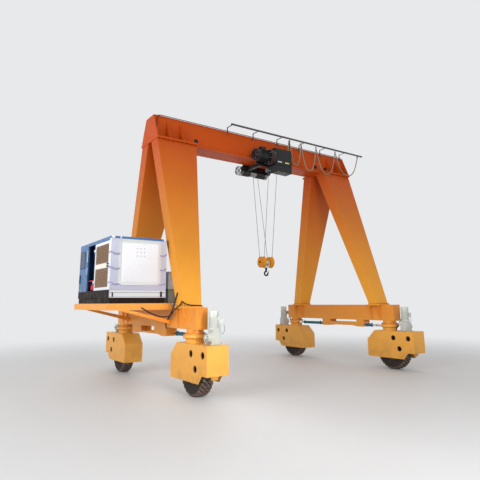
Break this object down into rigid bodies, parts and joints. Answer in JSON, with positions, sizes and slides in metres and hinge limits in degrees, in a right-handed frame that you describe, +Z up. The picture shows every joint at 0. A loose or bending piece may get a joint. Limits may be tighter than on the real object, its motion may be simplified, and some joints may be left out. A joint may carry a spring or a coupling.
{
  "type": "rubber tyred gantry crane",
  "caption": "Portal crane: a box girder on tapered leg frames with steered rubber tyred bogies, a travelling rope hoist, festoon cable and a generator set on a side platform.",
  "frame": {"origin": "on the ground under the centre of the crane's overall box", "axes": "+X along the girder away from the generator set, +Y along the direction of travel, +Z up"},
  "size_m": [10.215, 6.714, 7.837],
  "materials": {
    "orange_paint": "semi-gloss orange enamel on plate, sunlit parts nearer amber",
    "grey_paint": "satin light grey machine enamel",
    "rim_paint": "dusty grey enamel",
    "tyre_rubber": "matt black rubber with dust in the tread",
    "black_paint": "satin black enamel",
    "rod_chrome": "polished hard chrome",
    "rail_steel": "galvanized steel, dull",
    "cable_rubber": "grey-beige flat sheathing, dusty",
    "blue_paint": "satin blue enamel",
    "white_paint": "semi-gloss white enamel",
    "engine_black": "dark oily iron",
    "bright_steel": "machined steel",
    "rope_steel": "greased wire rope",
    "yellow_paint": "yellow enamel",
    "hook_iron": "black forged steel"
  },
  "bodies": {
    "root": {"main_girder": "orange_paint", "head_plates": "orange_paint", "leg_left_front": "orange_paint", "leg_left_rear": "orange_paint", "leg_right_front": "orange_paint", "leg_right_rear": "orange_paint", "sill_left": "orange_paint", "sill_right": "orange_paint", "festoon_rail": "rail_steel", "generator_platform": "orange_paint", "generator_tank": "black_paint", "generator_canopy": "blue_paint", "generator_end_panel": "white_paint", "generator_engine": "engine_black", "power_cabinet": "grey_paint"},
    "bogie_left_front": {"hood_left_front": "orange_paint", "gearmotor_left_front": "grey_paint"},
    "wheel_left_front": {"rim_left_front": "rim_paint", "tyre_left_front": "tyre_rubber"},
    "cylinder_left_front": {"barrel_left_front": "black_paint"},
    "piston_left_front": {"rod_left_front": "rod_chrome"},
    "bogie_left_rear": {"hood_left_rear": "orange_paint", "gearmotor_left_rear": "grey_paint"},
    "wheel_left_rear": {"rim_left_rear": "rim_paint", "tyre_left_rear": "tyre_rubber"},
    "cylinder_left_rear": {"barrel_left_rear": "black_paint"},
    "piston_left_rear": {"rod_left_rear": "rod_chrome"},
    "bogie_right_front": {"hood_right_front": "orange_paint", "gearmotor_right_front": "grey_paint"},
    "wheel_right_front": {"rim_right_front": "rim_paint", "tyre_right_front": "tyre_rubber"},
    "cylinder_right_front": {"barrel_right_front": "black_paint"},
    "piston_right_front": {"rod_right_front": "rod_chrome"},
    "bogie_right_rear": {"hood_right_rear": "orange_paint", "gearmotor_right_rear": "grey_paint"},
    "wheel_right_rear": {"rim_right_rear": "rim_paint", "tyre_right_rear": "tyre_rubber"},
    "cylinder_right_rear": {"barrel_right_rear": "black_paint"},
    "piston_right_rear": {"rod_right_rear": "rod_chrome"},
    "trolley": {"trolley_frame": "black_paint", "hoist_motor": "black_paint", "hoist_cabinet": "black_paint", "return_sheave": "bright_steel", "festoon_cable": "cable_rubber"},
    "trolley_wheels_front": {"trolley_wheels_front": "bright_steel"},
    "trolley_wheels_rear": {"trolley_wheels_rear": "bright_steel"},
    "drum": {"hoist_drum": "bright_steel"},
    "hook_block": {"hook_block": "bright_steel", "hook_guards": "yellow_paint", "hoist_ropes": "rope_steel"},
    "hook": {"hook": "hook_iron"},
    "festoon_carrier_inner": {"festoon_carrier_inner": "rail_steel"},
    "festoon_carrier_middle": {"festoon_carrier_middle": "rail_steel"},
    "festoon_carrier_outer": {"festoon_carrier_outer": "rail_steel"},
    "generator_door": {"generator_door": "white_paint"}
  },
  "joints": [
    {"name": "steer_left_front", "type": "hinge", "parent": "root", "child": "bogie_left_front", "pos_m": [-3.2575, -2.31, 1.3], "axis": [0, 0, 1], "range_deg": [-25, 25]},
    {"name": "roll_left_front", "type": "hinge", "parent": "bogie_left_front", "child": "wheel_left_front", "pos_m": [-3.2575, -2.428, 0.56], "axis": [1, 0, 0], "continuous": true},
    {"name": "steer_left_rear", "type": "hinge", "parent": "root", "child": "bogie_left_rear", "pos_m": [-3.2575, 2.31, 1.3], "axis": [0, 0, 1], "range_deg": [-25, 25]},
    {"name": "roll_left_rear", "type": "hinge", "parent": "bogie_left_rear", "child": "wheel_left_rear", "pos_m": [-3.2575, 2.428, 0.56], "axis": [1, 0, 0], "continuous": true},
    {"name": "steer_right_front", "type": "hinge", "parent": "root", "child": "bogie_right_front", "pos_m": [4.0325, -2.31, 1.3], "axis": [0, 0, 1], "range_deg": [-25, 25]},
    {"name": "roll_right_front", "type": "hinge", "parent": "bogie_right_front", "child": "wheel_right_front", "pos_m": [4.0325, -2.428, 0.56], "axis": [1, 0, 0], "continuous": true},
    {"name": "steer_right_rear", "type": "hinge", "parent": "root", "child": "bogie_right_rear", "pos_m": [4.0325, 2.31, 1.3], "axis": [0, 0, 1], "range_deg": [-25, 25]},
    {"name": "roll_right_rear", "type": "hinge", "parent": "bogie_right_rear", "child": "wheel_right_rear", "pos_m": [4.0325, 2.428, 0.56], "axis": [1, 0, 0], "continuous": true},
    {"name": "swing_left_front", "type": "hinge", "parent": "root", "child": "cylinder_left_front", "pos_m": [-3.1375, -1.06, 1.35], "axis": [0, 0, 1], "range_deg": [-11.11, 11.11]},
    {"name": "stroke_left_front", "type": "slide", "parent": "cylinder_left_front", "child": "piston_left_front", "axis": [0, -1, 0], "range_m": [-0.0544, 0.0544]},
    {"name": "swing_left_rear", "type": "hinge", "parent": "root", "child": "cylinder_left_rear", "pos_m": [-3.1375, 1.4, 1.35], "axis": [0, 0, 1], "range_deg": [-17.36, 17.36]},
    {"name": "stroke_left_rear", "type": "slide", "parent": "cylinder_left_rear", "child": "piston_left_rear", "axis": [0, 1, 0], "range_m": [-0.0544, 0.0544]},
    {"name": "swing_right_front", "type": "hinge", "parent": "root", "child": "cylinder_right_front", "pos_m": [3.9125, -1.4, 1.35], "axis": [0, 0, 1], "range_deg": [-17.36, 17.36]},
    {"name": "stroke_right_front", "type": "slide", "parent": "cylinder_right_front", "child": "piston_right_front", "axis": [0, -1, 0], "range_m": [-0.0544, 0.0544]},
    {"name": "swing_right_rear", "type": "hinge", "parent": "root", "child": "cylinder_right_rear", "pos_m": [3.9125, 0.7, 1.35], "axis": [0, 0, 1], "range_deg": [-8.2, 8.2]},
    {"name": "stroke_right_rear", "type": "slide", "parent": "cylinder_right_rear", "child": "piston_right_rear", "axis": [0, 1, 0], "range_m": [-0.0544, 0.0544]},
    {"name": "trolley_travel", "type": "slide", "parent": "root", "child": "trolley", "axis": [1, 0, 0], "range_m": [-1.95, 1.6], "deforming": ["festoon_cable"]},
    {"name": "trolley_wheel_roll_front", "type": "hinge", "parent": "trolley", "child": "trolley_wheels_front", "pos_m": [0.2925, 0, 7.0083], "axis": [0, 1, 0], "range_deg": [-1450, 1200]},
    {"name": "trolley_wheel_roll_rear", "type": "hinge", "parent": "trolley", "child": "trolley_wheels_rear", "pos_m": [1.1325, 0, 7.0083], "axis": [0, 1, 0], "range_deg": [-1450, 1200]},
    {"name": "hook_lift", "type": "slide", "parent": "trolley", "child": "hook_block", "axis": [0, 0, 1], "range_m": [-2.6, 2.4], "deforming": ["hoist_ropes"]},
    {"name": "drum_turn", "type": "hinge", "parent": "trolley", "child": "drum", "pos_m": [0.7125, 0.64, 6.75], "axis": [1, 0, 0], "range_deg": [-1800, 1950]},
    {"name": "hook_swivel", "type": "hinge", "parent": "hook_block", "child": "hook", "pos_m": [0.7125, 0, 3.3], "axis": [0, 0, 1], "continuous": true},
    {"name": "carrier_travel_inner", "type": "slide", "parent": "root", "child": "festoon_carrier_inner", "axis": [1, 0, 0], "range_m": [-1.8351, 1.5075]},
    {"name": "carrier_travel_middle", "type": "slide", "parent": "root", "child": "festoon_carrier_middle", "axis": [1, 0, 0], "range_m": [-1.3761, 1.1309]},
    {"name": "carrier_travel_outer", "type": "slide", "parent": "root", "child": "festoon_carrier_outer", "axis": [1, 0, 0], "range_m": [-0.5709, 0.4702]},
    {"name": "generator_door_hinge", "type": "hinge", "parent": "root", "child": "generator_door", "pos_m": [-5.0905, -0.04, 3.07], "axis": [0, 0, -1], "range_deg": [0, 100]}
  ],
  "couplings": [
    {"joint": "swing_left_front", "follows": "steer_left_front", "ratio": -0.40449},
    {"joint": "stroke_left_front", "follows": "steer_left_front", "m_per_rad": -0.12},
    {"joint": "swing_left_rear", "follows": "steer_left_rear", "ratio": -0.65455},
    {"joint": "stroke_left_rear", "follows": "steer_left_rear", "m_per_rad": 0.12},
    {"joint": "swing_right_front", "follows": "steer_right_front", "ratio": -0.65455},
    {"joint": "stroke_right_front", "follows": "steer_right_front", "m_per_rad": 0.12},
    {"joint": "swing_right_rear", "follows": "steer_right_rear", "ratio": -0.288},
    {"joint": "stroke_right_rear", "follows": "steer_right_rear", "m_per_rad": -0.12},
    {"joint": "trolley_wheel_roll_front", "follows": "trolley_travel", "rad_per_m": 12.5},
    {"joint": "trolley_wheel_roll_rear", "follows": "trolley_travel", "rad_per_m": 12.5},
    {"joint": "drum_turn", "follows": "hook_lift", "rad_per_m": -12.74},
    {"joint": "carrier_travel_inner", "follows": "trolley_travel", "ratio": 0.93593},
    {"joint": "carrier_travel_middle", "follows": "trolley_travel", "ratio": 0.70056},
    {"joint": "carrier_travel_outer", "follows": "trolley_travel", "ratio": 0.28762}
  ]
}
